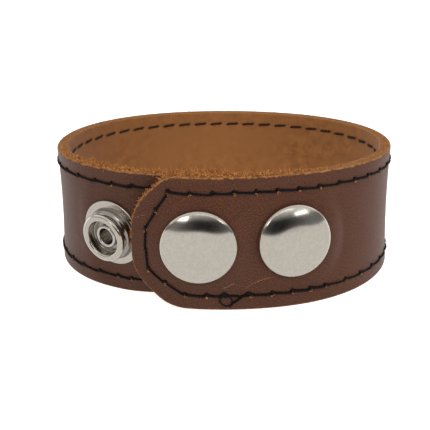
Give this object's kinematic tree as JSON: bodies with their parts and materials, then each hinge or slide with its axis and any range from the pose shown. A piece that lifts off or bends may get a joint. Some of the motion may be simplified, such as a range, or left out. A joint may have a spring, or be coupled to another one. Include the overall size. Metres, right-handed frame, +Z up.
{
  "type": "cuff bracelet",
  "caption": "Stitched leather cuff bracelet closed by a snap fastener, with a second cap and an exposed stud for other wrist sizes.",
  "frame": {"origin": "middle of the bracelet's footprint, on the surface it stands on", "axes": "+X across the loop, from the outer end along the front; +Y from the overlap at the front to the back; +Z up along the wrist's axis"},
  "size_m": [0.082, 0.0682, 0.0291],
  "materials": {
    "leather": "waxed, with raw edges and a suede inside",
    "nickel": "satin nickel plate"
  },
  "bodies": {
    "root": {"strap": "leather", "cap_fastened": "nickel", "cap_open": "nickel", "socket_fastened": "nickel", "socket_open": "nickel", "stud_fastened": "nickel", "stud_exposed": "nickel", "post_fastened": "nickel", "post_exposed": "nickel"}
  },
  "joints": []
}
